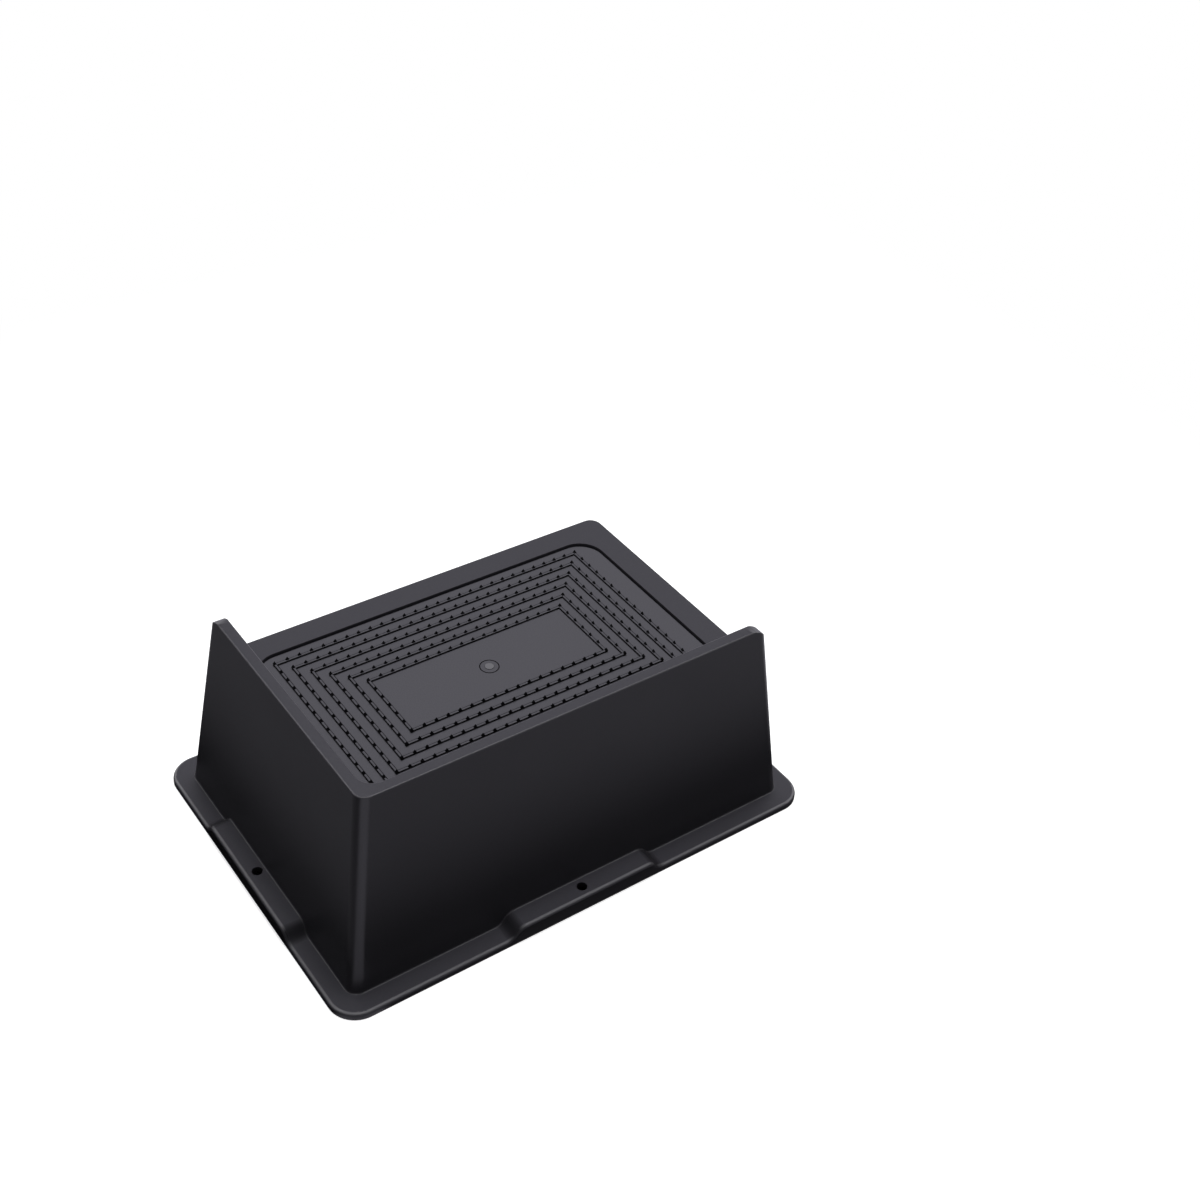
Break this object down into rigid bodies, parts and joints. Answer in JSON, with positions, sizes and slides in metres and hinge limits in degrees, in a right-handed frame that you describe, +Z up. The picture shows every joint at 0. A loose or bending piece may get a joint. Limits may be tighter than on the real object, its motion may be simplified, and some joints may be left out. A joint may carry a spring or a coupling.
{
  "type": "bed riser",
  "caption": "Oblong furniture riser with drafted hollow walls, flanged base with screw holes, L-shaped corner lip and a recessed toothed grip pad for a bed or sofa leg.",
  "frame": {"origin": "middle of the base, on the floor", "axes": "+X along the long side, +Y away from the long lip, +Z up; the lip stands on the -X and -Y sides"},
  "size_m": [0.2486, 0.1758, 0.1015],
  "materials": {
    "body_plastic": "fine matte, moulded black",
    "pad_rubber": "matte dark grey"
  },
  "bodies": {
    "root": {"riser_body": "body_plastic", "grip_pad": "pad_rubber"}
  },
  "joints": []
}
